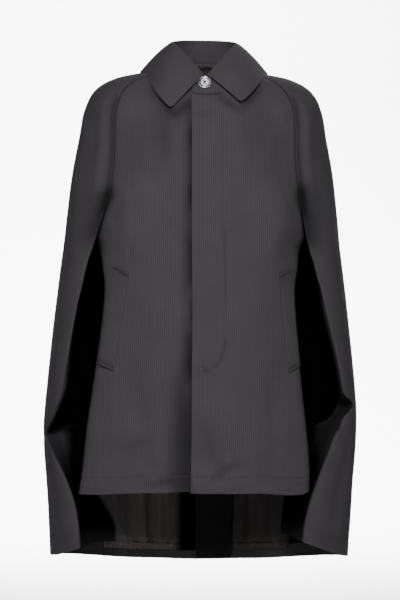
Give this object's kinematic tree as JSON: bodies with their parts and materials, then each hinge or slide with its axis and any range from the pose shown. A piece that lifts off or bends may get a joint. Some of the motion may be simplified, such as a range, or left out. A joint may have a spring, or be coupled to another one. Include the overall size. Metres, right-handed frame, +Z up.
{
  "type": "cape coat",
  "caption": "Charcoal fine-striped wool cape coat, filled out, with turn-down collar, fly front, welt pockets, open-fronted cape sleeves and a longer vented back.",
  "frame": {"origin": "middle of the neck at the level of the collar seam, where the wearer's shoulders hold the cape", "axes": "+Z up, the front faces -Y, +X towards the wearer's left"},
  "size_m": [0.5331, 0.2846, 0.898],
  "materials": {
    "cloth": "matte wool with a fine lengthwise stripe",
    "lining": "soft sheen",
    "button": "polished smoke grey"
  },
  "bodies": {
    "root": {"front_right": "cloth", "front_left": "cloth", "wing_right": "cloth", "wing_left": "cloth", "back_right": "cloth", "back_left": "cloth", "vent_underlap": "cloth", "collar": "cloth", "welt_right": "cloth", "welt_left": "cloth", "neck_facing": "lining", "back_lining_right": "lining", "back_lining_left": "lining", "wing_lining_right": "lining", "wing_lining_left": "lining", "button": "button"}
  },
  "joints": []
}
